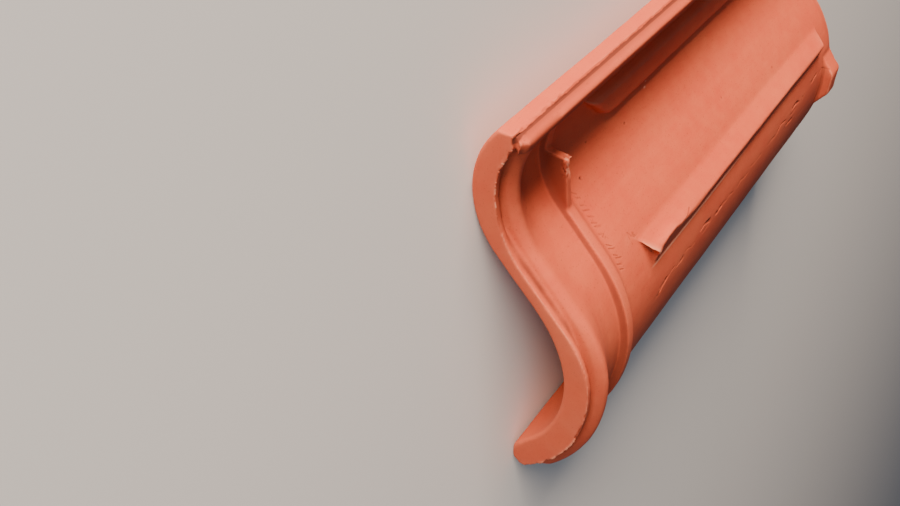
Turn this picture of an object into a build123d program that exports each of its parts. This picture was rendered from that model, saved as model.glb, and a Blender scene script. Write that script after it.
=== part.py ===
from build123d import *
import os
from math import asin, atan2, cos, degrees, hypot, radians, sin, sqrt, tan

# Interlocking clay pantile, pressed and fired in one piece.
# It is drawn as a section and a distance along the tile:
#   across    from the cover edge (0) to the water edge (tile_width)
#   depth     from the crest of the roll on the weather face towards the underside
#   along     from the tail (0), the end that shows on the roof, to the head (tile_length)
# The finished tile lies underside up, as it rests on a floor: X across, Y along, Z up.

# Whole tile
tile_length = 454.0
tile_width = 256.0
profile_depth = 62.0          # crest of the roll to the bottom of the pan, weather face
wall = 12.0                   # plain wall, square to its face
arris = 1.4                   # worn edge of the weather face at both ends

# Weather face: a round roll, a straight web, a round pan and a straight flank
roll_radius = 60.0
roll_crest = 41.0             # crest of the roll from the cover edge
web_angle = 42.4              # slope of the web, degrees
flank_radius = 97.0           # round from the bottom of the pan to the flank
flank_angle = 40.0            # slope of the flank, degrees
land_depth = 28.7             # flat land along the water edge
land_width = 6.7
land_blend = 16.0             # round between the flank and the land
edge_bevel_width = 4.5        # bevel outside the land
edge_bevel_depth = 5.8

# Cover edge: a lip, a narrow lock groove and a bead beside it
lip_depth = 25.5              # underside of the lip
lip_foot = 8.0                # flat part of the lip's underside
lip_foot_run = 9.0            # slope from the lip's flat to the roll
groove_width = 1.2
groove_depth = 4.0
bead_inset = 1.5              # bead behind the edge face
bead_width = 7.2
bead_height = 6.6
bead_tail_gap = 3.0           # bead stops this far from the tail
bead_head_gap = 12.0
bead_flat = 0.2               # flat left between the bead's two rounds

# Face of the water edge, between the bevel and the underside of the flank
water_edge = 2.6

# The wall thins towards the head
head_fall = 12.0
head_thinning = 2.0

# Tail lip, the first thing under the tail end: thickness at roll, web and pan, water edge
tail_lip_run = 4.0
tail_lip_roll = 15.5
tail_lip_web = 9.5
tail_lip_pan = 17.0
tail_lip_edge = 3.4

# Tail rib, the rounded ring behind the lip
tail_rib_start = 6.0
tail_rib_rise = 4.5
tail_rib_crest = 3.0
tail_rib_fall = 22.0
tail_rib_roll = 22.5
tail_rib_web = 16.5
tail_rib_pan = 23.5
tail_rib_edge = 17.8

# Weather check, the low rib across the underside, and the baffle in the roll
check_start = 50.0
check_rise = 2.0
check_top = 7.0
check_fall = 6.0
check_height = 3.8
check_pan_height = 5.2
baffle_thickness = 6.0
baffle_reach = 17.5           # how far the baffle's tip stands into the roll
baffle_tip = 9.0              # flat of the tip
baffle_lead = 3.0             # side near the cover edge, nearly upright
baffle_width = 38.0
baffle_offset = 2.0           # near side of the baffle before the roll's crest

# Broad ridge along the inside of the roll
roll_ridge_offset = 3.0       # beyond the crest of the roll
roll_ridge_start = 94.0
roll_ridge_slant = 28.0       # its tail end runs back from the cover side
roll_ridge_nose = 22.0        # round in plan at the far corner of the tail end
roll_ridge_top = 17.0
roll_ridge_draft = 4.0
roll_ridge_height = 7.7
roll_ridge_round = 3.5
roll_ridge_head_gap = 24.0

# Saw-tooth support ridge along the web, measured back from the bottom of the pan
saddle_start = 98.0
saddle_head_gap = 37.0
saddle_foot = 52.0            # where its long slope leaves the web
saddle_crest = 42.0
saddle_heel = 29.5            # where its other side meets the pan
saddle_crest_flat = 1.6
saddle_step = 2.0             # crest short of the level of the pan

# Hanging nib under the pan at the head
nib_head_gap = 5.0
nib_length = 21.0
nib_width = 50.0
nib_top = 20.0
nib_height = 9.0
nib_round = 3.0

# Head ribs on the weather face, which lock under the next course
head_rib_width = 9.0
head_rib_height = 6.0
head_rib_gap = 7.0
head_rib_pitch = 24.0
head_rib_count = 2

ROOT = 4.0                    # how deep added ribs are rooted in the wall
SUNK = 0.4                    # how far a rib's end dips into the plain wall

WEB = radians(web_angle)
FLANK = radians(flank_angle)


def bottom_of_pan():
    """Place of the pan's bottom, from the land back along the flank and its round."""
    land_start = tile_width - edge_bevel_width - land_width
    knee = land_start - land_blend * tan(FLANK / 2)
    corner = knee - (profile_depth - land_depth) / tan(FLANK)
    return corner - flank_radius * tan(FLANK / 2)


pan_bottom = bottom_of_pan()
pan_radius = (
    ((pan_bottom - roll_crest) * sin(WEB) - profile_depth * cos(WEB)) / (1 - cos(WEB))
    - roll_radius
)


def hill(crest, radius, start, end):
    """Arc with its crest towards the weather side, between two slopes in radians."""
    def at(slope):
        return (crest.X + radius * sin(slope), crest.Y + radius * (1 - cos(slope)))
    return ThreePointArc(at(start), at((start + end) / 2), at(end))


def bowl(bottom, radius, start, end):
    """Arc with its bottom towards the underside, between two slopes in radians."""
    def at(slope):
        return (bottom.X - radius * sin(slope), bottom.Y - radius * (1 - cos(slope)))
    return ThreePointArc(at(start), at((start + end) / 2), at(end))


def weather_face(inset):
    """Weather face from the cover edge to the water edge, worn back by an inset."""
    roll_r = roll_radius - inset
    roll = hill(Vector(roll_crest, inset), roll_r, -asin(roll_crest / roll_r), WEB)
    pan = bowl(Vector(pan_bottom, profile_depth + inset), pan_radius + inset, WEB, 0)
    toe = bowl(Vector(pan_bottom, profile_depth + inset), flank_radius + inset, 0, -FLANK)
    land_start = Vector(tile_width - edge_bevel_width - land_width, land_depth + inset)
    land_end = Vector(tile_width - edge_bevel_width, land_depth + inset)
    blend = hill(land_start, land_blend - inset, -FLANK, 0)
    return [
        roll,
        Line(roll @ 1, pan @ 0),
        pan,
        toe,
        Line(toe @ 1, blend @ 0),
        blend,
        Line(land_start, land_end),
        Line(land_end, (tile_width, land_depth + edge_bevel_depth)),
    ]


class Under:
    """Underside face for a wall so thick at the roll, web and pan, down to its water edge."""

    def __init__(self, roll, web, pan, edge):
        self.roll_crest = Vector(roll_crest, roll)
        self.roll_r = ((roll_radius - web) - (roll_radius - roll) * cos(WEB)) / (1 - cos(WEB))
        self.bottom = Vector(pan_bottom, profile_depth + pan)
        self.pan_r = ((pan_radius + web) - (pan_radius + pan) * cos(WEB)) / (1 - cos(WEB))
        self.tip = Vector(tile_width, land_depth + edge_bevel_depth + edge)
        self.toe_run = tile_width - pan_bottom
        rise = self.bottom.Y - self.tip.Y
        self.toe_r = (self.toe_run ** 2 + rise ** 2) / (2 * rise)

    def depth(self, across):
        """Depth of the face at a place between the cover edge and the bottom of the pan."""
        off = across - self.roll_crest.X
        if off < self.roll_r * sin(WEB):
            return self.roll_crest.Y + self.roll_r - sqrt(self.roll_r ** 2 - off ** 2)
        back = min(self.bottom.X - across, self.pan_r * sin(WEB))
        line = (self.bottom.X - across - back) * tan(WEB)
        return self.bottom.Y - self.pan_r + sqrt(self.pan_r ** 2 - back ** 2) - line

    def edges(self, across):
        """From the water edge back to the roll, which ends at a place across."""
        toe = bowl(self.bottom, self.toe_r, -asin(self.toe_run / self.toe_r), 0)
        pan = bowl(self.bottom, self.pan_r, 0, WEB)
        end = asin((across - self.roll_crest.X) / self.roll_r)
        roll = hill(self.roll_crest, self.roll_r, WEB, end)
        return [toe, pan, Line(pan @ 1, roll @ 0), roll]


def section(under, inset=0.0):
    """The whole section between the weather face and an underside, with its lip."""
    top = weather_face(inset)
    bottom = under.edges(lip_foot + lip_foot_run)
    edges = top + [Line(top[-1] @ 1, under.tip)] + bottom
    edges.append(Line(bottom[-1] @ 1, (lip_foot, lip_depth)))
    edges.append(Line((lip_foot, lip_depth), (0, lip_depth)))
    edges.append(Line((0, lip_depth), top[0] @ 0))
    return make_face(Wire(edges))


def rib_section(under):
    """What a rib of the underside adds, rooted inside the wall."""
    cover = bead_inset + bead_width - SUNK
    root = ROOTED.edges(cover)
    bottom = under.edges(cover)
    edges = root + [Line(root[-1] @ 1, bottom[-1] @ 1)] + bottom
    edges.append(Line(under.tip, ROOTED.tip))
    return make_face(Wire(edges))


def placed(face, along):
    """A section face, set up square to the tile at a distance from the tail."""
    return Plane(origin=(0, along, 0), x_dir=(1, 0, 0), z_dir=(0, -1, 0)) * face


def slab(face, start, end):
    """A section face run along the tile."""
    return extrude(placed(face, start), amount=end - start, dir=(0, 1, 0))


def skin(faces):
    """Section faces at their places along the tile, joined by straight skins."""
    return loft([placed(face, along) for face, along in faces], ruled=True)


PLAIN = Under(wall, wall, wall, water_edge)
ROOTED = Under(ROOT, ROOT, ROOT, water_edge / 2)


def thicker(more, pan_more):
    """An underside that stands out from the plain one."""
    return Under(wall + more, wall + more, wall + pan_more, water_edge + pan_more)


def plate():
    body = slab(section(PLAIN), tail_lip_run, tile_length - head_fall)
    thin = thicker(-head_thinning, -head_thinning)
    worn = head_thinning * (1 - arris / head_fall)
    edge = thicker(-worn, -worn)
    head = skin([
        (section(PLAIN), tile_length - head_fall),
        (section(edge), tile_length - arris),
        (section(thin, arris), tile_length),
    ])
    return body + head


def tail_lip():
    lip = Under(tail_lip_roll, tail_lip_web, tail_lip_pan, tail_lip_edge)
    worn = skin([(section(lip, arris), 0), (section(lip), arris)])
    return worn + slab(section(lip), arris, tail_lip_run)


def tail_rib():
    """The ring behind the tail lip: a quick rise, a crest and a long hollow fall."""
    crest = tail_rib_start + tail_rib_rise
    fall = crest + tail_rib_crest
    steps = [
        (0.0, tail_rib_start),
        (0.62, tail_rib_start + 0.3 * tail_rib_rise),
        (1.0, crest),
        (1.0, fall),
        (0.66, fall + 0.25 * tail_rib_fall),
        (0.24, fall + 0.6 * tail_rib_fall),
        (0.0, fall + tail_rib_fall),
    ]
    base = [wall - SUNK, wall - SUNK, wall - SUNK, water_edge - SUNK]
    full = [tail_rib_roll, tail_rib_web, tail_rib_pan, tail_rib_edge]
    faces = []
    for share, along in steps:
        size = [low + share * (high - low) for low, high in zip(base, full)]
        faces.append((rib_section(Under(*size)), along))
    return skin(faces)


def bead():
    """Lock bead along the cover edge, beside the lip, with a half-round top."""
    low = lip_depth + groove_width
    high = low + bead_height
    back = bead_inset + bead_width
    root = lip_depth - ROOT
    outline = Polyline(
        (groove_depth, root), (back, root), (back, high), (bead_inset, high),
        (bead_inset, low), (groove_depth, low), (groove_depth, root),
    )
    face = make_face(outline)
    top = face.vertices().sort_by(Axis.Y)[-2:]
    face = fillet(top, (bead_width - bead_flat) / 2)
    return slab(face, bead_tail_gap, tile_length - bead_head_gap)


def weather_check():
    """Low rib across the underside, steep on its tail side and hollow on the other."""
    sunk = thicker(-SUNK, -SUNK)
    full = thicker(check_height, check_pan_height)
    half = thicker(0.35 * check_height, 0.35 * check_pan_height)
    end = check_start + check_top
    return skin([
        (rib_section(sunk), check_start - check_rise),
        (rib_section(full), check_start),
        (rib_section(full), end),
        (rib_section(half), end + 0.5 * check_fall),
        (rib_section(sunk), end + check_fall),
    ])


def baffle():
    """Triangular wall that closes part of the roll at the weather check."""
    near = roll_crest - baffle_offset
    far = near + baffle_width
    lead = near + baffle_lead
    tip = PLAIN.depth(lead) + baffle_reach
    outline = Polyline(
        (near, ROOTED.depth(near)), (lead, tip), (lead + baffle_tip, tip),
        (far, PLAIN.depth(far) + check_height), (far, ROOTED.depth(far)),
        (near + baffle_width / 2, ROOTED.depth(near + baffle_width / 2)),
        (near, ROOTED.depth(near)),
    )
    return slab(make_face(outline), check_start, check_start + baffle_thickness)


def roll_ridge():
    """Broad ridge along the inside of the roll, with a slanted tail end."""
    middle = roll_crest + roll_ridge_offset
    top = PLAIN.depth(middle) + roll_ridge_height
    root = PLAIN.depth(middle) - ROOT
    half = roll_ridge_top / 2
    foot = half + roll_ridge_draft
    outline = Polyline(
        (middle - foot, root), (middle - half, top), (middle + half, top),
        (middle + foot, root), (middle - foot, root),
    )
    ridge = slab(make_face(outline), roll_ridge_start, tile_length - roll_ridge_head_gap)
    end = Polyline(
        (middle - foot, roll_ridge_start), (middle + foot, roll_ridge_start),
        (middle + foot, roll_ridge_start + roll_ridge_slant), (middle - foot, roll_ridge_start),
    )
    ridge -= Pos(0, 0, root) * extrude(make_face(end), amount=top - root, dir=(0, 0, 1))
    far = ridge.faces().sort_by(Axis.X)[-1].edges().sort_by(Axis.Y)[0]
    ridge = fillet(far, roll_ridge_nose)
    crest = ridge.faces().sort_by(Axis.Z)[-1]
    return fillet(crest.edges(), roll_ridge_round)


def saddle_ridge():
    """Saw-tooth ridge whose crest stands nearly level with the pan's underside."""
    foot = pan_bottom - saddle_foot
    crest = pan_bottom - saddle_crest
    heel = pan_bottom - saddle_heel
    top = profile_depth + wall - saddle_step
    outline = Polyline(
        (foot, PLAIN.depth(foot) - SUNK), (crest, top), (crest + saddle_crest_flat, top),
        (heel, PLAIN.depth(heel) - SUNK), (heel, PLAIN.depth(heel) - ROOT),
        (foot, PLAIN.depth(foot) - ROOT), (foot, PLAIN.depth(foot) - SUNK),
    )
    return slab(make_face(outline), saddle_start, tile_length - saddle_head_gap)


def nib():
    """Hanging nib under the pan at the head, square on its tail side and sloped on its flanks."""
    root = profile_depth + wall - ROOT
    top = profile_depth + wall + nib_height
    outline = Polyline(
        (pan_bottom - nib_width / 2, root), (pan_bottom + nib_width / 2, root),
        (pan_bottom + nib_top / 2, top), (pan_bottom - nib_top / 2, top),
        (pan_bottom - nib_width / 2, root),
    )
    face = make_face(outline)
    face = fillet(face.vertices().sort_by(Axis.Y)[-2:], nib_round)
    end = tile_length - nib_head_gap
    return slab(face, end - nib_length, end)


def head_ribs():
    """Ribs across the pan's weather face at the head."""
    ribs = []
    for turn in range(head_rib_count):
        end = tile_length - head_rib_gap - turn * head_rib_pitch
        crest = Vector(pan_bottom, profile_depth - head_rib_height)
        root = Vector(pan_bottom, profile_depth + ROOT)
        high = [
            bowl(crest, pan_radius - head_rib_height, WEB, 0),
            bowl(crest, flank_radius - head_rib_height, 0, -FLANK),
        ]
        low = [
            bowl(root, flank_radius + ROOT, -FLANK, 0),
            bowl(root, pan_radius + ROOT, 0, WEB),
        ]
        ring = high + [Line(high[-1] @ 1, low[0] @ 0)] + low + [Line(low[-1] @ 1, high[0] @ 0)]
        ribs.append(slab(make_face(Wire(ring)), end - head_rib_width, end))
    return ribs


def resting_turn():
    """Angle about Y that brings the roll's crest and the land's edge down on one level."""
    across = tile_width - edge_bevel_width - roll_crest
    up = roll_radius - land_depth
    return degrees(asin(roll_radius / hypot(across, up)) - atan2(up, across))


def clay_tile():
    tile = plate() + tail_lip() + tail_rib() + bead() + weather_check() + baffle()
    tile = tile + roll_ridge() + saddle_ridge() + nib() + head_ribs()
    tile = Rotation(0, resting_turn(), 0) * tile
    box = tile.bounding_box()
    middle = box.center()
    return Pos(-middle.X, -middle.Y, -box.min.Z) * tile


os.makedirs("parts", exist_ok=True)
tile = clay_tile()
print("solids", len(tile.solids()), "volume", round(tile.volume), "pan bottom", round(pan_bottom, 2),
      "pan radius", round(pan_radius, 2), "rest turn", round(resting_turn(), 6))
export_step(tile, "parts/clay_tile.step")
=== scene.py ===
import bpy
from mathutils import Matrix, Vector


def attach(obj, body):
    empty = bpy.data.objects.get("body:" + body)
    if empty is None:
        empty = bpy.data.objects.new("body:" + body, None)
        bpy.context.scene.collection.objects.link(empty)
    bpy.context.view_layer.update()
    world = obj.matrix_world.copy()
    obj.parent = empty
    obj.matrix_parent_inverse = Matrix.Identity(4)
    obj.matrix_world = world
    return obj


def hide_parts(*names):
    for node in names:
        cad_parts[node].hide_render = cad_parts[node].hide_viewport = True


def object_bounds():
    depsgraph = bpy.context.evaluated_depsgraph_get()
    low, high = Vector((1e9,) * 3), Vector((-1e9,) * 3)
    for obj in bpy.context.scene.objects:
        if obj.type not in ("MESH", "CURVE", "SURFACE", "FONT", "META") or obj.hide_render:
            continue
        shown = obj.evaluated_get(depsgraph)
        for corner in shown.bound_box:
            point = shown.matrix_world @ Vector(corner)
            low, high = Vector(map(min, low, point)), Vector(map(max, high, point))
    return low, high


bl_info = {
    "name": "Clay Roof Tile",
    "version": (1, 0, 0),
    "blender": (4, 5, 0),
    "location": "View3D > Sidebar > Roof Tile",
    "description": "Dresses a pressed clay pantile and sets it on a studio floor",
    "category": "Object",
}

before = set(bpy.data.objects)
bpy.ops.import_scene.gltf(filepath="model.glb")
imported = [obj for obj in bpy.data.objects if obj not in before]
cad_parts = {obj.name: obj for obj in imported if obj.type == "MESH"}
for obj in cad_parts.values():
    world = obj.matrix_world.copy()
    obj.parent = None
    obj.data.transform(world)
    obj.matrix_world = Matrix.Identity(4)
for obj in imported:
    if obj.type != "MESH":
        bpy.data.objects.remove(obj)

from itertools import product
from math import cos, radians, sin

import bpy
import numpy as np
from bpy.props import FloatProperty, FloatVectorProperty, IntProperty, PointerProperty
from mathutils import Matrix, Vector

CAD_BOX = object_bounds()
MM = 0.001
MOST_FACES = 199000

# The tile's own section, as the solid lies: across from the cover edge, along from the tail,
# depth from the crest of the roll on the weather face towards the underside, all in mm.
# The corner is the section's zero in the frame, and the turn is how far the tile leans.
REST_TURN = radians(7.918232)
CORNER = (-131.50, -227.0, 6.22)

TILE_LENGTH = 454.0
LIP_DEPTH = 25.5
BEAD_BACK = 8.7
BEAD_SPREAD = 3.4
TAIL_RIM = 2.4
TAIL_RIB = (6.0, 38.0)
CHECK_START = 50.0
TEARS_START = 65.0
BAFFLE_TIP = 29.5
BAFFLE_MIDDLE = 46.5
SADDLE_START = 98.0
SADDLE_END = 417.0
SADDLE_CREST = 122.0
SADDLE_HEEL = 134.5
CRACK_START = 104.0
CRACK_ACROSS = 155.5
PAN_LEVEL = 74.0
NIB_TAIL = 428.0
NIB_MIDDLE = 164.0

# Curves of the softer forms: where in the first row, how much in the second.
# The bead's steps are depths beyond the lip's, each across the bead.
BEAD_STEPS = ((1.6, 2.8, 4.2, 5.6, 7.4, 12.4), (0.8, 2.4, 4.8, 6.5, 6.2, 4.2))
# How far the saddle ridge's two ends are bent along, and its crest worn back
TAIL_BEND = ((106, 112, 117, 120, 123, 130), (-8.5, -8, -3.5, -1, 2.5, 2.5))
HEAD_BEND = ((104, 112, 122, 126), (10, 7, -2, -2))
CREST_WEAR = ((98, 103, 110, 122, 130, 138, 150), (0, 2.2, 4.0, 4.2, 1.8, 1.6, 0))
# Depth and place along of the bent tail end's upper edge, and the depth its worn base reaches
NOSE_DEPTH = ((106, SADDLE_CREST, 126), (54, PAN_LEVEL - 2, PAN_LEVEL - 4))
NOSE_ALONG = ((108, 112, 117, 120, 123), (90, 90.5, 95, 97.5, 101))
BASE_DEPTH = ((110, 122, 130), (57, 69, 71))

# Across and along of the points of each crack: the deeper openings of the parting crack, and
# the small cracks at the foot of the saddle ridge's curled lip
GOUGES = [
    [(161, 103), (158, 108), (155, 115)],
    [(157, 130), (156, 139)],
    [(153, 169), (152, 178), (154, 184)],
    [(156, 196), (155, 206)],
    [(154, 318), (152, 328), (154, 337)],
    [(151, 352), (150, 361), (152, 368)],
    [(160, 342), (161, 353)],
    [(149, 400), (147, 411)],
]
NOSE_CRACKS = [
    [(106.5, 86), (109, 88), (111, 91)],
    [(108, 90), (111, 92)],
    [(121, 138), (120, 147)],
]

# Across, along and radius of the small pits and of the pale chips in the underside
PITS = [
    (65, 134, 1.0), (69, 140, 0.7), (79, 174, 0.8), (61, 97, 0.7), (73, 118, 0.6),
    (73, 78, 0.9), (75, 122, 0.5), (88, 205, 0.5), (97, 248, 0.6), (108, 330, 0.5),
]
CHIPS = [(61.5, 175, 0.9), (59, 178, 0.6)]

# Smoothing moves each point half of the way, and the tail's rim a quarter as far as the rest
SMOOTH_FACTOR = 0.5
RIM_SOFTNESS = 0.25
REFINE_ROUNDS = 3
CREASE_ROUNDS = 4

# Sockets that are numbered because they share their names: those of a colour mix, and the
# inputs of a multiply-add
MIX_SHARE = 0
MIX_START = 6
MIX_END = 7
MIX_RESULT = 2
SUM_VALUE = 0
SUM_WEIGHT = 1
SUM_ADDED = 2

FLOOR_SIZE = 60
SKY_COLOUR = "#C6D6F0"
SKY_STRENGTH = 0.14
# Name, place, width and height, power and colour of each soft light
LIGHTS = (
    ("key_light", (-3.0, -0.7, 0.8), (3.0, 1.2), 385, "#FFEAD6"),
    ("fill_light", (-0.7, -1.4, 1.1), (1.4, 1.4), 9, "#EEF3FF"),
)
CAMERA_PLACE = (-0.32917, -0.52330, 0.24664)
CAMERA_RIGHT = (0.1469, 0.5823, 0.7996)
CAMERA_AHEAD = (0.5845, 0.6010, -0.5450)
CAMERA_SENSOR = 36.0
CAMERA_LENS = 34.43


def linear(code):
    """Colour of an sRGB hex code in linear values, with an alpha of 1."""
    values = []
    for place in (1, 3, 5):
        share = int(code[place:place + 2], 16) / 255
        values.append(share / 12.92 if share <= 0.04045 else ((share + 0.055) / 1.055) ** 2.4)
    return (*values, 1.0)


class TileSizes(bpy.types.PropertyGroup):
    grain: FloatProperty(
        name="Grain", description="Cell size that the pressed clay is built up from",
        default=0.8 * MM, min=0.4 * MM, max=2 * MM, unit="LENGTH", precision=5,
    )
    soft_passes: IntProperty(
        name="Edge Softness", description="Passes that round the clay's edges",
        default=4, min=0, max=20,
    )
    worn_passes: IntProperty(
        name="Wear", description="Passes that round the ribs and feet which press and hand wore",
        default=40, min=0, max=200,
    )
    wave: FloatProperty(
        name="Waviness", description="How far the pressed faces wander from true",
        default=0.3 * MM, min=0.0, max=1 * MM, unit="LENGTH", precision=5,
    )
    burr: FloatProperty(
        name="Burr", description="Height of the torn burr along the tail and the lip",
        default=1.3 * MM, min=0.0, max=3 * MM, unit="LENGTH", precision=5,
    )
    crack: FloatProperty(
        name="Crack Depth", description="Depth of the tears and cracks in the underside",
        default=0.9 * MM, min=0.0, max=2 * MM, unit="LENGTH", precision=5,
    )
    mark_edge: FloatProperty(
        name="Mark Detail", description="Longest mesh edge where the clay is torn or cracked",
        default=0.5 * MM, min=0.3 * MM, max=2 * MM, unit="LENGTH", precision=5,
    )
    faces: IntProperty(
        name="Faces", description="Faces kept before the torn and cracked places are refined",
        default=86000, min=20000, max=190000,
    )


class TileColours(bpy.types.PropertyGroup):
    clay: FloatVectorProperty(
        name="Fired Clay", description="Body colour of the fired clay",
        subtype="COLOR", size=4, min=0.0, max=1.0, default=linear("#BF4A2E"),
    )
    pale: FloatVectorProperty(
        name="Pale Clay", description="Cooler firing, in soft patches",
        subtype="COLOR", size=4, min=0.0, max=1.0, default=linear("#C55838"),
    )
    # Colour of pale burrs, chips and crumbled clay, and of the painted highlights on edges and rims
    rubbed_and_highlight: FloatVectorProperty(
        name="Rubbed Edge", description="Dry clay on burrs and rubbed edges",
        subtype="COLOR", size=4, min=0.0, max=1.0, default=linear("#E39A7A"),
    )
    # Colour of the dark grog specks, and of the painted shade in cracks, tears, pits, grooves,
    # creases, hollows and faces turned from the light
    dark_grog_and_shade: FloatVectorProperty(
        name="Crevice", description="Dark clay in cracks, tears and pits",
        subtype="COLOR", size=4, min=0.0, max=1.0, default=linear("#6E2C1B"),
    )
    floor: FloatVectorProperty(
        name="Floor", description="Plain pale studio floor",
        subtype="COLOR", size=4, min=0.0, max=1.0, default=linear("#D9D7D3"),
    )


def fade(value, start, end):
    """Soft step from 0 at start to 1 at end."""
    share = np.clip((value - start) / (end - start), 0, 1)
    return share * share * (3 - 2 * share)


def hump(value, middle, half):
    """Soft hump, 1 at its middle and 0 from half its width on."""
    return fade(half - np.abs(value - middle), 0, half)


def span(value, start, full, end, fall):
    """Soft span: 0 up to start, 1 from full on, back to 0 over the fall before its end."""
    return fade(value, start, full) * fade(end - value, 0, fall)


def lumps(places, size, seed):
    """Soft random lumps of one size in mm, from -1 to 1, the same on every run."""
    cells = 24
    table = np.random.default_rng(seed).uniform(-1, 1, (cells, cells, cells))
    spot = places / size
    low = np.floor(spot).astype(int)
    part = spot - low
    part = part * part * (3 - 2 * part)
    total = np.zeros(len(places))
    for corner in product((0, 1), repeat=3):
        cell = (low + corner) % cells
        share = np.where(corner, part, 1 - part).prod(axis=1)
        total += share * table[cell[:, 0], cell[:, 1], cell[:, 2]]
    return total


def near_line(places, line, width):
    """How near each place is to a drawn line across the underside: 1 on it, 0 at its width."""
    near = np.zeros(len(places))
    for start, end in zip(line, line[1:]):
        start = np.array(start, float)
        run = np.array(end, float) - start
        flat = places[:, :2] - start
        share = np.clip(flat @ run / (run @ run), 0, 1)
        far = np.linalg.norm(flat - share[:, None] * run, axis=1)
        near = np.maximum(near, np.clip(1 - far / width, 0, 1))
    return near


def tears():
    """Short tears behind the weather check, where the clay dragged in the press."""
    chance = np.random.default_rng(11)
    lines = []
    for across in np.linspace(75, 117, 15):
        start = (across + chance.uniform(-0.6, 0.6), TEARS_START + chance.uniform(-0.8, 0.8))
        end = (start[0] + chance.uniform(1.6, 2.6), start[1] + chance.uniform(3, 5.5))
        lines.append([start, end])
    return lines


def parting_crack():
    """Broken crack along the pan where two lumps of clay met in the press."""
    chance = np.random.default_rng(5)
    lines = []
    along = CRACK_START
    while along < NIB_TAIL:
        length = chance.uniform(8, 26)
        line = []
        for share in (0.0, 0.35, 0.7, 1.0):
            place = along + share * length
            across = CRACK_ACROSS - 7 * fade(place, 330, 430) + chance.uniform(-1.6, 1.6)
            line.append((across, place))
        lines.append(line)
        along += length + chance.uniform(6, 34)
    return lines


def turned(values, angle):
    """Values turned about the tile's length, by the angle between the frame and the section."""
    across = values[:, 0] * cos(angle) - values[:, 2] * sin(angle)
    depth = values[:, 0] * sin(angle) + values[:, 2] * cos(angle)
    return np.stack([across, values[:, 1], depth], axis=1)


def read_vectors(items, name):
    """One vector of each of a mesh's points or normals."""
    values = np.empty(len(items) * 3)
    items.foreach_get(name, values)
    return values.reshape(-1, 3)


def read_section(mesh):
    """Places in mm and normals of the mesh's points, both in the tile's own section."""
    points = read_vectors(mesh.vertices, "co")
    normals = read_vectors(mesh.vertex_normals, "vector")
    return turned(points / MM - np.array(CORNER), REST_TURN), turned(normals, REST_TURN)


def write_section(mesh, places):
    """Puts the mesh's points at places in the section, kept inside the solid's box."""
    points = (turned(places, -REST_TURN) + np.array(CORNER)) * MM
    points = np.clip(points, np.array(CAD_BOX[0]), np.array(CAD_BOX[1]))
    mesh.vertices.foreach_set("co", points.ravel())
    mesh.update()


def is_under(normals):
    """Whether each place faces the side away from the weather."""
    return normals[:, 2] > 0.2


def shape(places, normals, sizes):
    """Moves the clay's larger forms away from true: wavy faces, bead and saddle ridge."""
    moved = places.copy()
    wave = 0.7 * lumps(places, 55, 1) + 0.3 * lumps(places, 13, 2)
    moved += normals * (wave * sizes.wave / MM)[:, None]
    shape_bead(places, moved)
    shape_saddle(places, moved)
    return moved


def shape_bead(places, moved):
    """Low shelf beside the groove and a crest that slopes down behind, rounded off at the tail."""
    across, along, depth = places.T
    behind = span(across, BEAD_BACK - 4.5, BEAD_BACK, BEAD_BACK + 2, 1.5)
    moved[:, 0] += behind * fade(depth, LIP_DEPTH + 0.5, LIP_DEPTH + 2) * BEAD_SPREAD
    bead = fade(BEAD_BACK + 1 - across, 0, 0.6) * fade(depth, LIP_DEPTH + 0.5, LIP_DEPTH + 1.2)
    shelf = np.interp(moved[:, 0], *BEAD_STEPS) + LIP_DEPTH
    shelf -= 3.2 * fade(7.5 - along, 0, 4.5)
    moved[:, 2] -= bead * np.clip(depth - shelf, 0, 6)


def shape_saddle(places, moved):
    """Bends the saddle ridge's ends and wears its crest back.

    It starts nearer the tail at its foot, in an S, and flares at its crest. The crest is worn
    back behind the curled lip, and the head end runs on along the foot.
    """
    across, along, depth = places.T
    tail = span(along, SADDLE_START - 14, SADDLE_START - 4, SADDLE_START + 34, 30)
    wide = span(across, SADDLE_CREST - 18, SADDLE_CREST - 14, SADDLE_CREST + 18, 6)
    moved[:, 1] += tail * wide * np.interp(across, *TAIL_BEND)

    worn = fade(depth, PAN_LEVEL - 13, PAN_LEVEL - 3) * hump(across, SADDLE_CREST + 1, 8)
    moved[:, 0] -= worn * np.interp(along, *CREST_WEAR)

    head = span(along, SADDLE_END - 32, SADDLE_END - 5, SADDLE_END + 25, 22)
    wide = span(across, SADDLE_CREST - 24, SADDLE_CREST - 18, SADDLE_CREST + 14, 8)
    moved[:, 1] += head * wide * np.interp(across, *HEAD_BEND)


def worn_places(places, normals):
    """Where the press and hand rounded the clay most, from 0 to 1."""
    across, along, depth = places.T
    under = fade(normals[:, 2], -0.3, 0.2)
    rib = span(along, TAIL_RIB[0] + 1.0, TAIL_RIB[0] + 2.5, TAIL_RIB[1], 3)
    foot = hump(across, 111, 7) * span(along, SADDLE_START - 12, SADDLE_START - 6, SADDLE_END + 7, 4)
    base = hump(along, SADDLE_START - 3, 9) * span(across, 108, 112, 131, 4)
    base = base * fade(np.interp(across, *BASE_DEPTH) - depth, -1, 2)
    heel = hump(across, SADDLE_HEEL + 1, 4)
    heel = heel * span(along, SADDLE_START - 4, SADDLE_START + 2, SADDLE_END + 7, 4)
    nib = fade(along, NIB_TAIL - 3, NIB_TAIL) * fade(34 - np.abs(across - NIB_MIDDLE), 0, 4)
    check = hump(along, CHECK_START + 11, 8) * fade(across, 60, 66)
    side = hump(along, CHECK_START + 5, 9) * hump(across, 66, 22) * 0.6
    return np.maximum(np.max([rib, foot, base, heel, nib, check], axis=0) * under, side)


def tail_rim(places, normals):
    """The edge between the tail face and the underside of its lip."""
    turn = fade(-normals[:, 1], 0.2, 0.5) * fade(np.hypot(normals[:, 0], normals[:, 2]), 0.2, 0.5)
    inner = fade(normals[:, 2], 0.0, 0.25)
    return turn * inner * fade(TAIL_RIM - places[:, 1], 0, 1.0)


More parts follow.
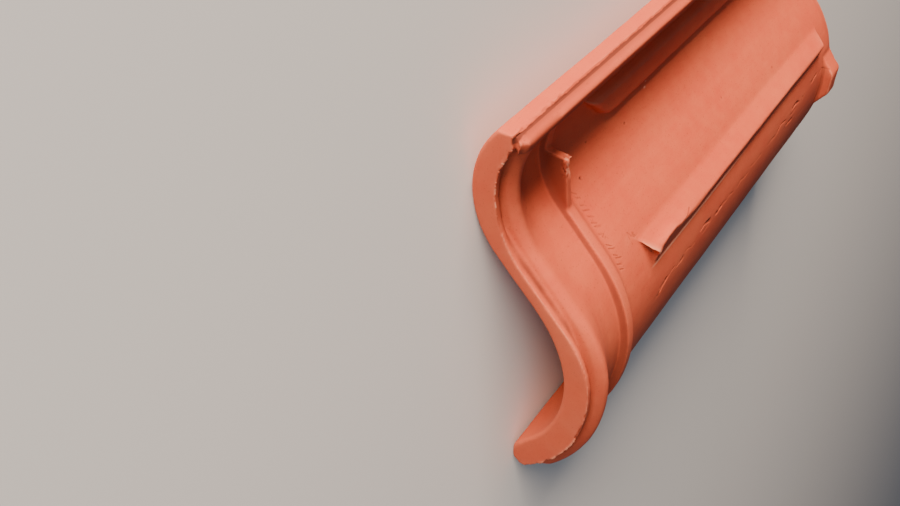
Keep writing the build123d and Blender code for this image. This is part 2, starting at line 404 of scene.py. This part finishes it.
def lip_edge(places):
    """The lip's edge over the lock groove."""
    return hump(places[:, 0], 0, 3.2) * hump(places[:, 2], LIP_DEPTH, 1.6)


def groove_floor(places):
    """The lip's underside and the groove, painted with shade from a ragged line at the lip's edge on.
    """
    ragged = 0.9 + 0.4 * lumps(places, 1.4, 33) + 0.25 * lumps(places, 9, 34)
    inside = span(places[:, 0], ragged, ragged + 0.35, 5.5, 1)
    return inside * span(places[:, 2], LIP_DEPTH - 0.9, LIP_DEPTH - 0.3, LIP_DEPTH + 2.0, 0.7)


def bead_tail(places):
    """The bead's cut end at the tail."""
    across, along, depth = places.T
    end = fade(6.0 - along, 0, 2.5) * fade(BEAD_BACK + 1 - across, 0, 1)
    return end * fade(depth, LIP_DEPTH + 1.5, LIP_DEPTH + 3)


def baffle_tip(places):
    """The upper corner of the triangular baffle in the roll."""
    across, along, depth = places.T
    top = hump(across, BAFFLE_MIDDLE, 10) ** 0.5 * hump(along, CHECK_START + 3, 7) ** 0.5
    return top * fade(depth, BAFFLE_TIP - 4.5, BAFFLE_TIP - 1)


def saddle_nose(places):
    """The upper edge of the saddle ridge's tail face, as shape_saddle() has bent it."""
    across, along, depth = places.T
    edge = hump(along, np.interp(across, *NOSE_ALONG), 4)
    edge = edge * hump(depth, np.interp(across, *NOSE_DEPTH), 4.5)
    return edge * span(across, SADDLE_CREST - 15, SADDLE_CREST - 10, SADDLE_CREST + 5, 3)


def saddle_crest(places):
    """The sharp crest of the saddle ridge."""
    across, along, depth = places.T
    crest = hump(across, SADDLE_CREST + 1.2, 2.6) * hump(depth, PAN_LEVEL - 2, 2.4)
    return crest * span(along, SADDLE_START, SADDLE_START + 3, SADDLE_END + 2, 3)


def heel_line(places):
    """The sharp line along the far foot of the saddle ridge."""
    line = hump(places[:, 0], SADDLE_HEEL + 0.6, 1.3)
    return line * span(places[:, 1], SADDLE_START - 4, SADDLE_START + 6, 270, 80)


def nib_rim(places, normals):
    """The nib's upper edges at its two ends."""
    across, along, depth = places.T
    end = fade(np.abs(normals[:, 1]), 0.25, 0.6) * fade(normals[:, 2], 0.2, 0.5)
    return end * fade(depth, PAN_LEVEL + 3, PAN_LEVEL + 6) * fade(along, NIB_TAIL - 8, NIB_TAIL - 4)


def press_marks(places, normals):
    """How much each place needs fine detail, from 0 to 1."""
    lines = np.zeros(len(places))
    for line in tears() + parting_crack() + GOUGES + NOSE_CRACKS:
        lines = np.maximum(lines, near_line(places, line, 1.8))
    for across, along, radius in PITS + CHIPS:
        far = np.hypot(places[:, 0] - across, places[:, 1] - along)
        lines = np.maximum(lines, far < 2 * radius + 1)
    broad = np.max([
        tail_rim(places, normals), lip_edge(places), groove_floor(places), bead_tail(places),
        baffle_tip(places), saddle_nose(places), saddle_crest(places), heel_line(places),
        nib_rim(places, normals),
    ], axis=0)
    return np.maximum(0.6 * broad, lines * is_under(normals))


def burr_tail(places, normals, moved, tone, burr):
    """Knife burr round the tail: lumpy at the roll, thin along the web, notched at the pan, with
    painted highlight and shade on its rim and painted shade in the valley behind the lip.
    """
    across, along, depth = places.T
    rim = tail_rim(places, normals)
    strong = 0.2 + 0.6 * fade(38 - across, 0, 14) + 0.6 * fade(across, 160, 182)
    rough = 0.45 * lumps(places, 1.3, 21) + 0.75 * lumps(places, 5.5, 22)
    raised = np.clip(0.15 + 0.6 * lumps(places, 16, 23) + rough, -0.9, 1.3) * strong
    lift = rim * raised * 0.6 * burr
    moved += normals * lift[:, None]
    moved[:, 2] += lift
    speck = fade(lumps(places, 1.2, 25), 0.2, 0.5) * fade(60 - across, 0, 15)
    towards_roll = fade(68 - across, 0, 12)
    # Painted highlight where the burr on the rim stands up and painted shade where it sinks; the rim
    # is also darker towards the roll, with light specks there
    tone += rim * (0.8 * np.clip(raised, -0.6, 0.8) + 1.1 * speck - 0.65 * towards_roll)
    # Painted shade in the valley between the lip and the tail rib
    valley = hump(along, 4.2, 2.4) * is_under(normals) * fade(across, 8, 12)
    tone -= valley * (0.6 + 0.35 * lumps(places, 6, 24))


def nick_lip(places, moved, tone, burr):
    """Nicked edge of the lip over its groove, with painted shade in the nicks and the groove, and
    painted shade beside and behind the bead.
    """
    across, along, depth = places.T
    edge = lip_edge(places)
    nick = lumps(places, 2.2, 31) * np.clip(0.6 + lumps(places, 24, 32), 0, 1.5)
    moved[:, 2] += edge * nick * 0.3 * burr
    # Painted shade in the sunk nicks
    tone -= edge * np.clip(-nick, 0, 1) * 0.4
    # Painted shade in the groove
    tone -= groove_floor(places) * 1.1
    shade = np.maximum(span(across, 0.9, 1.4, 5.2, 3.4), span(across, 7.4, 9.5, 14, 1))
    tone -= shade * fade(depth, LIP_DEPTH + 0.2, LIP_DEPTH + 0.8) * 0.5


def cut_bead(places, normals, moved, tone, burr):
    """Burr where the bead was cut off."""
    cut = bead_tail(places)
    moved += normals * (cut * lumps(places, 2.0, 41) * 0.25 * burr)[:, None]
    tone += cut * np.clip(0.2 + lumps(places, 1.8, 42), 0, 1) * 0.5


def crumble_baffle(places, moved, tone, burr):
    """Crumbled tip of the baffle, with pieces broken out."""
    tip = baffle_tip(places)
    for axis in range(3):
        moved[:, axis] += tip * lumps(places, 1.9, 50 + axis) * burr
    moved[:, 2] -= tip * fade(lumps(places, 4.5, 54), 0.1, 0.6) * 1.2 * burr
    tone += tip * (0.2 + 0.8 * lumps(places, 1.4, 55))


def curl_saddle(places, normals, moved, tone, burr):
    """Curled lip at the saddle ridge's tail end with a painted highlight on its rim, the burr along
    its crest, a painted highlight along its far foot, and painted shade behind its crest.
    """
    across, along, depth = places.T
    nose = saddle_nose(places)
    moved[:, 1] -= nose * (1.3 + 0.4 * lumps(places, 4, 61)) * burr
    moved[:, 2] += nose * 0.5 * burr
    # Painted highlight on the upper rim of the curled lip
    tone += nose * fade(normals[:, 2], 0.0, 0.6) * fade(across, 112, 117) * 0.4
    torn = 0.7 + 0.5 * lumps(places, 18, 62) + 0.45 * lumps(places, 3.5, 63)
    moved[:, 0] += saddle_crest(places) * torn * 0.8 * burr
    # Painted highlight along the far foot of the ridge
    tone += heel_line(places) * is_under(normals) * (0.9 + 0.2 * lumps(places, 7, 65))
    # Painted shade on the ridge's side behind its crest, facing away from the light
    behind = hump(across, SADDLE_CREST + 3.0, 2.0) * fade(normals[:, 0], 0.1, 0.4)
    behind = behind * fade(depth, 60, 66) * fade(along, SADDLE_START, SADDLE_START + 6)
    tone -= behind * np.clip(0.15 + 0.6 * lumps(places, 9, 64), 0, 1)


def crack_underside(places, normals, moved, tone, crack):
    """Tears, cracks, pits and chips in the underside, with painted shade inside the tears, cracks and
    pits.
    """
    under = is_under(normals)
    # Lines, how wide and deep each is, between which nearness its painted shade sets in, and how dark
    # that shade gets
    kinds = (
        (tears() + NOSE_CRACKS, 0.5, 0.4, (0.1, 0.9), 0.5),
        (parting_crack(), 0.8 + 0.6 * lumps(places, 5, 71), 0.3, (0.1, 0.8), 0.4),
        (GOUGES, 1.2 + 1.1 * lumps(places, 3.5, 72), 1.2, (0.05, 0.6), 0.9),
    )
    for lines, width, deep, darkened, dark in kinds:
        for line in lines:
            near = near_line(places, line, width) * under
            moved[:, 2] -= near * crack * deep
            tone -= fade(near, *darkened) * dark
    for across, along, radius in PITS:
        far = np.hypot(places[:, 0] - across, places[:, 1] - along)
        near = np.clip(1.25 - far / radius, 0, 1) * under
        moved[:, 2] -= near * crack
        # Painted shade inside the pit
        tone -= fade(near, 0.0, 0.8) * 0.95
    for across, along, radius in CHIPS:
        far = np.hypot(places[:, 0] - across, (places[:, 1] - along) / 2)
        tone += fade(radius - far, 0, 0.6) * under * 0.9


def shade_steep_faces(places, normals, tone):
    """Painted shade on the steep tail faces of the weather check and the baffle, and on a strip
    beside it that faces away from the light.
    """
    across, along, depth = places.T
    tone -= fade(-normals[:, 1], 0.5, 0.9) * hump(along, CHECK_START - 0.5, 4) * 0.7
    strip = fade(normals[:, 0], 0.0, 0.4) * hump(along, CHECK_START + 3, 10)
    tone -= strip * span(across, 50, 53, 78, 3) * 0.6


def dent_nib(places, normals, moved, tone):
    """Dented nib, with painted shade round its foot, painted highlights on its upper rims and along
    the head's edge, and a strip of painted shade between.
    """
    across, along, depth = places.T
    nib = fade(depth, PAN_LEVEL + 0.5, PAN_LEVEL + 3) * fade(along, NIB_TAIL - 8, NIB_TAIL - 2)
    moved -= normals * (nib * np.clip(0.5 + lumps(places, 8, 81), 0, 1.5) * 0.8)[:, None]
    flank = hump(across, NIB_MIDDLE - 26, 2.6) * fade(along, NIB_TAIL - 4, NIB_TAIL + 2)
    front = hump(along, NIB_TAIL - 1, 2.6) * hump(across, NIB_MIDDLE, 30) ** 0.3
    foot = np.maximum(flank, front) * is_under(normals)
    # Painted shade round the nib's foot
    tone -= foot * fade(TILE_LENGTH - 2 - along, 0, 3) * 0.6
    # Painted highlight on the nib's upper rims
    tone += nib_rim(places, normals) * 0.25
    # Painted highlight along the head's edge, and painted shade on the strip before it
    head = fade(along, TILE_LENGTH - 3, TILE_LENGTH - 0.5)
    tone += head * fade(normals[:, 2], 0.1, 0.4) * 0.45
    tone -= hump(along, TILE_LENGTH - 8, 6) * fade(normals[:, 2], 0.3, 0.6) * 0.12


def sculpt(places, normals, sizes):
    """Moves the places as press, knife and kiln did, and gives each place its tone, with painted
    highlights and painted shade in it.
    """
    burr = sizes.burr / MM
    moved = places.copy()
    tone = np.zeros(len(places))
    burr_tail(places, normals, moved, tone, burr)
    nick_lip(places, moved, tone, burr)
    cut_bead(places, normals, moved, tone, burr)
    crumble_baffle(places, moved, tone, burr)
    curl_saddle(places, normals, moved, tone, burr)
    crack_underside(places, normals, moved, tone, sizes.crack / MM)
    shade_steep_faces(places, normals, tone)
    dent_nib(places, normals, moved, tone)
    return moved, tone


def crease_shade_and_edge_highlight(mesh, places, normals):
    """Painted shade in hollow corners below 0 and painted highlights on outer edges above 0, from the
    shape itself.
    """
    ends = np.empty(len(mesh.edges) * 2, dtype=int)
    mesh.edges.foreach_get("vertices", ends)
    first, second = ends.reshape(-1, 2).T
    run = places[second] - places[first]
    far = np.linalg.norm(run, axis=1) + 1e-9
    bend = ((normals[second] - normals[first]) * run).sum(axis=1) / far ** 2
    points = len(places)
    count = np.bincount(ends, minlength=points) + 1e-9
    value = (np.bincount(first, bend, points) + np.bincount(second, bend, points)) / count
    for _ in range(CREASE_ROUNDS):
        spread = np.bincount(first, value[second], points) + np.bincount(second, value[first], points)
        value = 0.4 * value + 0.6 * spread / count
    return np.clip(value, -0.5, 0.5)


def refine(piece, sizes):
    """Subdivides the faces of torn and cracked places until their edges are short enough."""
    mesh = piece.data
    for _ in range(REFINE_ROUNDS):
        places, normals = read_section(mesh)
        wanted = press_marks(places, normals)
        corners = np.empty(len(mesh.loops), dtype=int)
        mesh.loops.foreach_get("vertex_index", corners)
        corners = corners.reshape(-1, 3)
        sides = places[corners] - places[np.roll(corners, 1, axis=1)]
        longest = np.linalg.norm(sides, axis=2).max(axis=1)
        chosen = wanted[corners].max(axis=1) * longest > sizes.mark_edge / MM
        if not chosen.any():
            return
        bpy.ops.object.mode_set(mode="EDIT")
        bpy.ops.mesh.select_mode(type="FACE")
        bpy.ops.mesh.select_all(action="DESELECT")
        bpy.ops.object.mode_set(mode="OBJECT")
        mesh.polygons.foreach_set("select", chosen)
        bpy.ops.object.mode_set(mode="EDIT")
        bpy.ops.mesh.subdivide(number_cuts=1)
        bpy.ops.mesh.select_all(action="SELECT")
        bpy.ops.mesh.quads_convert_to_tris()
        bpy.ops.object.mode_set(mode="OBJECT")


def apply_modifier(piece, kind, **settings):
    """Runs one modifier on the piece's mesh."""
    modifier = piece.modifiers.new(kind.title(), kind)
    for name, value in settings.items():
        setattr(modifier, name, value)
    bpy.ops.object.modifier_apply(modifier=modifier.name)


def smooth(piece, name, amount, passes):
    """Rounds the piece's points off, each by its own amount, which is kept in quarters."""
    group = piece.vertex_groups.new(name=name)
    for quarter in range(1, 5):
        chosen = np.flatnonzero(np.round(amount * 4) == quarter)
        group.add(chosen.tolist(), quarter / 4, "REPLACE")
    apply_modifier(
        piece, "SMOOTH", factor=SMOOTH_FACTOR, iterations=passes, vertex_group=name,
    )


def add_node(tree, kind, place, settings=None, links=None):
    """One shader node with its own settings, its input values and what it is linked to."""
    node = tree.nodes.new(kind)
    node.location = place
    for name, value in (settings or {}).items():
        if isinstance(name, str) and hasattr(node, name):
            setattr(node, name, value)
        else:
            node.inputs[name].default_value = value
    for name, source in (links or {}).items():
        tree.links.new(source, node.inputs[name])
    return node


def clay_material(colours):
    """Terracotta, pressed damp and kiln-fired without glaze.

    It is matt all over, mottled in patches where the kiln was hotter, speckled with grog,
    drawn out along the tile by the extruder and pale on its burrs and chips. Painted highlights
    lighten its edges and rims, and painted shade darkens its cracks, grooves, creases and hollows.
    """
    material = bpy.data.materials.new("kiln_fired_terracotta")
    material.use_nodes = True
    tree = material.node_tree
    tree.nodes.clear()
    place = add_node(tree, "ShaderNodeTexCoord", (-1500, 0)).outputs["Object"]

    # Patches of 70 mm and mottling of 9 mm
    patch = add_node(
        tree, "ShaderNodeTexNoise", (-1200, 400),
        {"Scale": 1 / 0.070, "Detail": 3.0, "Roughness": 0.55}, {"Vector": place},
    )
    mottle = add_node(
        tree, "ShaderNodeTexNoise", (-1200, 150),
        {"Scale": 1 / 0.009, "Detail": 4.0, "Roughness": 0.6}, {"Vector": place},
    )
    # Extruder streaks 3 mm wide and 90 mm long
    drawn = add_node(
        tree, "ShaderNodeMapping", (-1350, -120),
        {"Scale": (1 / 0.003, 1 / 0.090, 1 / 0.003)}, {"Vector": place},
    )
    streak = add_node(
        tree, "ShaderNodeTexNoise", (-1200, -120),
        {"Scale": 1.0, "Detail": 3.0, "Roughness": 0.6}, {"Vector": drawn.outputs["Vector"]},
    )
    # Grog specks of 1.2 mm
    grog = add_node(
        tree, "ShaderNodeTexNoise", (-1200, -400),
        {"Scale": 1 / 0.0012, "Detail": 2.0, "Roughness": 0.5}, {"Vector": place},
    )
    mottled = add_node(
        tree, "ShaderNodeMath", (-950, 120), {"operation": "MULTIPLY_ADD", SUM_WEIGHT: 0.7},
        {SUM_VALUE: mottle.outputs["Fac"], SUM_ADDED: patch.outputs["Fac"]},
    )
    streaked = add_node(
        tree, "ShaderNodeMath", (-760, 120), {"operation": "MULTIPLY_ADD", SUM_WEIGHT: 0.35},
        {SUM_VALUE: streak.outputs["Fac"], SUM_ADDED: mottled.outputs["Value"]},
    )
    fired = add_node(
        tree, "ShaderNodeMapRange", (-570, 200), {"From Min": 0.75, "From Max": 1.3},
        {"Value": streaked.outputs["Value"]},
    )
    body = add_node(
        tree, "ShaderNodeMix", (-380, 200),
        {"data_type": "RGBA", MIX_START: tuple(colours.clay), MIX_END: tuple(colours.pale)},
        {MIX_SHARE: fired.outputs["Result"]},
    )
    speck = add_node(
        tree, "ShaderNodeMapRange", (-570, -400),
        {"From Min": 0.62, "From Max": 0.74, "To Max": 0.35}, {"Value": grog.outputs["Fac"]},
    )
    speckled = add_node(
        tree, "ShaderNodeMix", (-190, 100),
        {"data_type": "RGBA", MIX_END: tuple(colours.dark_grog_and_shade)},
        {MIX_SHARE: speck.outputs["Result"], MIX_START: body.outputs[MIX_RESULT]},
    )
    # The sculpted tone: pale above 0 on burrs, chips and painted highlights, dark below 0 with
    # painted shade
    tone = add_node(tree, "ShaderNodeAttribute", (-760, -650), {"attribute_name": "tone"})
    light = add_node(
        tree, "ShaderNodeMapRange", (-380, -560), {"From Max": 1.0, "To Max": 0.9},
        {"Value": tone.outputs["Fac"]},
    )
    dark = add_node(
        tree, "ShaderNodeMapRange", (-380, -800), {"From Max": -1.0, "To Max": 0.95},
        {"Value": tone.outputs["Fac"]},
    )
    rubbed_and_highlight = add_node(
        tree, "ShaderNodeMix", (0, 0), {"data_type": "RGBA", MIX_END: tuple(colours.rubbed_and_highlight)},
        {MIX_SHARE: light.outputs["Result"], MIX_START: speckled.outputs[MIX_RESULT]},
    )
    cracked = add_node(
        tree, "ShaderNodeMix", (190, -100),
        {"data_type": "RGBA", MIX_END: tuple(colours.dark_grog_and_shade)},
        {MIX_SHARE: dark.outputs["Result"], MIX_START: rubbed_and_highlight.outputs[MIX_RESULT]},
    )

    # Grain of 0.9 mm over the pressed skin's soft lumps of 5 mm
    grain = add_node(
        tree, "ShaderNodeTexNoise", (-570, -1050),
        {"Scale": 1 / 0.0009, "Detail": 3.0, "Roughness": 0.65}, {"Vector": place},
    )
    skin = add_node(
        tree, "ShaderNodeTexNoise", (-570, -1300),
        {"Scale": 1 / 0.005, "Detail": 3.0, "Roughness": 0.5}, {"Vector": place},
    )
    height = add_node(
        tree, "ShaderNodeMath", (-380, -1150), {"operation": "MULTIPLY_ADD", SUM_WEIGHT: 2.0},
        {SUM_VALUE: skin.outputs["Fac"], SUM_ADDED: grain.outputs["Fac"]},
    )
    relief = add_node(
        tree, "ShaderNodeBump", (-190, -1150), {"Strength": 0.35, "Distance": 0.0002},
        {"Height": height.outputs["Value"]},
    )
    matt = add_node(
        tree, "ShaderNodeMapRange", (0, -400), {"To Min": 0.74, "To Max": 0.9},
        {"Value": mottle.outputs["Fac"]},
    )
    shader = add_node(
        tree, "ShaderNodeBsdfPrincipled", (400, 0),
        {"IOR": 1.5, "Specular IOR Level": 0.35},
        {
            "Base Color": cracked.outputs[MIX_RESULT], "Roughness": matt.outputs["Result"],
            "Normal": relief.outputs["Normal"],
        },
    )
    add_node(
        tree, "ShaderNodeOutputMaterial", (700, 0), links={"Surface": shader.outputs["BSDF"]},
    )
    return material


class ROOFTILE_OT_press(bpy.types.Operator):
    """Press the tile's clay over its solid, with its burrs, tears and cracks"""

    bl_idname = "rooftile.press"
    bl_label = "Press Clay Tile"
    bl_options = {"REGISTER", "UNDO"}

    def execute(self, context):
        sizes = context.scene.tile_sizes
        piece = self.copy_solid(context)
        self.form(piece, sizes)
        mesh = piece.data
        self.mark(mesh, sizes)
        if len(mesh.polygons) > MOST_FACES:
            raise RuntimeError(f"the tile has {len(mesh.polygons)} faces")

        bpy.ops.object.shade_smooth()
        mesh.materials.clear()
        mesh.materials.append(clay_material(context.scene.tile_colours))
        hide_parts("clay_tile")
        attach(piece, "root")
        print("pressed_tile faces", len(mesh.polygons))
        return {"FINISHED"}

    def copy_solid(self, context):
        """A copy of the solid's mesh with its seams closed, selected and active."""
        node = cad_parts["clay_tile"]
        bpy.ops.object.select_all(action="DESELECT")
        mesh = node.data.copy()
        mesh.name = "pressed_tile"
        piece = bpy.data.objects.new("pressed_tile", mesh)
        context.collection.objects.link(piece)
        context.view_layer.objects.active = piece
        piece.select_set(True)
        bpy.ops.object.mode_set(mode="EDIT")
        bpy.ops.mesh.select_all(action="SELECT")
        bpy.ops.mesh.remove_doubles(threshold=1e-6)
        bpy.ops.object.mode_set(mode="OBJECT")
        return piece

    def form(self, piece, sizes):
        """Builds the clay up in fine cells, shapes and rounds it, and thins its mesh out."""
        apply_modifier(piece, "REMESH", mode="VOXEL", voxel_size=sizes.grain, adaptivity=0.0)
        places, normals = read_section(piece.data)
        write_section(piece.data, shape(places, normals, sizes))
        smooth(piece, "worn", worn_places(places, normals), sizes.worn_passes)
        rim = tail_rim(*read_section(piece.data)) > 0.2
        smooth(piece, "soft", np.where(rim, RIM_SOFTNESS, 1.0), sizes.soft_passes)
        piece.vertex_groups.clear()
        ratio = sizes.faces / (2 * len(piece.data.polygons))
        apply_modifier(piece, "DECIMATE", ratio=ratio, use_collapse_triangulate=True)
        refine(piece, sizes)

    def mark(self, mesh, sizes):
        """Sculpts the small marks and stores the tone that the material reads."""
        moved, tone = sculpt(*read_section(mesh), sizes)
        write_section(mesh, moved)
        # Painted shade in hollow corners and painted highlights on outer edges, from the shape's
        # bends
        tone += 0.5 * crease_shade_and_edge_highlight(mesh, moved, read_section(mesh)[1])
        layer = mesh.attributes.new("tone", "FLOAT", "POINT")
        layer.data.foreach_set("value", np.clip(tone, -1, 1))


class ROOFTILE_OT_stage(bpy.types.Operator):
    """Lay the plain floor and set the soft light and the camera"""

    bl_idname = "rooftile.stage"
    bl_label = "Set Stage"
    bl_options = {"REGISTER", "UNDO"}

    def execute(self, context):
        self.floor(context)
        self.sky(context)
        for name, place, size, power, colour in LIGHTS:
            self.softbox(context, name, Vector(place), size, power, colour)
        self.camera(context)
        return {"FINISHED"}

    def floor(self, context):
        """Wide level floor, painted in one matt colour."""
        bpy.ops.object.select_all(action="DESELECT")
        bpy.ops.mesh.primitive_plane_add(size=FLOOR_SIZE, location=(0, 0, 0))
        floor = context.active_object
        floor.name = "floor"
        # Matt studio paint, rolled on: even in colour, without gloss
        paint = bpy.data.materials.new("matt_studio_paint")
        paint.use_nodes = True
        shader = paint.node_tree.nodes["Principled BSDF"]
        shader.inputs["Base Color"].default_value = tuple(context.scene.tile_colours.floor)
        shader.inputs["Roughness"].default_value = 0.9
        floor.data.materials.append(paint)

    def sky(self, context):
        """Weak, cool light from all round."""
        world = bpy.data.worlds.new("studio")
        world.use_nodes = True
        glow = world.node_tree.nodes["Background"]
        glow.inputs["Color"].default_value = linear(SKY_COLOUR)
        glow.inputs["Strength"].default_value = SKY_STRENGTH
        context.scene.world = world

    def softbox(self, context, name, place, size, power, colour):
        """Soft light so wide and high at a place, turned towards the tile."""
        bpy.ops.object.light_add(type="AREA", location=place)
        light = context.active_object
        light.name = name
        light.data.shape = "RECTANGLE"
        light.data.size, light.data.size_y = size
        light.data.energy = power
        light.data.color = linear(colour)[:3]
        light.rotation_euler = (-place).to_track_quat("-Z", "Y").to_euler()

    def camera(self, context):
        """Camera at the viewing angle of the photograph: over the tail, near the cover edge."""
        place = Vector(CAMERA_PLACE)
        right = Vector(CAMERA_RIGHT).normalized()
        ahead = Vector(CAMERA_AHEAD)
        ahead = (ahead - ahead.dot(right) * right).normalized()
        up = right.cross(ahead)
        bpy.ops.object.camera_add(location=place)
        camera = context.active_object
        camera.name = "camera"
        turn = Matrix((right, up, -ahead)).transposed().to_4x4()
        camera.matrix_world = Matrix.Translation(place) @ turn
        camera.data.sensor_width = CAMERA_SENSOR
        camera.data.lens = CAMERA_LENS
        camera.data.clip_start = 0.01
        context.scene.camera = camera


class ROOFTILE_PT_panel(bpy.types.Panel):
    bl_label = "Roof Tile"
    bl_idname = "ROOFTILE_PT_panel"
    bl_space_type = "VIEW_3D"
    bl_region_type = "UI"
    bl_category = "Roof Tile"

    def draw(self, context):
        layout = self.layout
        for name in TileSizes.__annotations__:
            layout.prop(context.scene.tile_sizes, name)
        for name in TileColours.__annotations__:
            layout.prop(context.scene.tile_colours, name)
        layout.operator("rooftile.press")
        layout.operator("rooftile.stage")


CLASSES = (
    TileSizes,
    TileColours,
    ROOFTILE_OT_press,
    ROOFTILE_OT_stage,
    ROOFTILE_PT_panel,
)


def register():
    for kind in CLASSES:
        bpy.utils.register_class(kind)
    bpy.types.Scene.tile_sizes = PointerProperty(type=TileSizes)
    bpy.types.Scene.tile_colours = PointerProperty(type=TileColours)


def unregister():
    del bpy.types.Scene.tile_colours
    del bpy.types.Scene.tile_sizes
    for kind in reversed(CLASSES):
        bpy.utils.unregister_class(kind)


def main():
    register()
    bpy.ops.rooftile.press()
    bpy.ops.rooftile.stage()


if __name__ == "__main__":
    main()
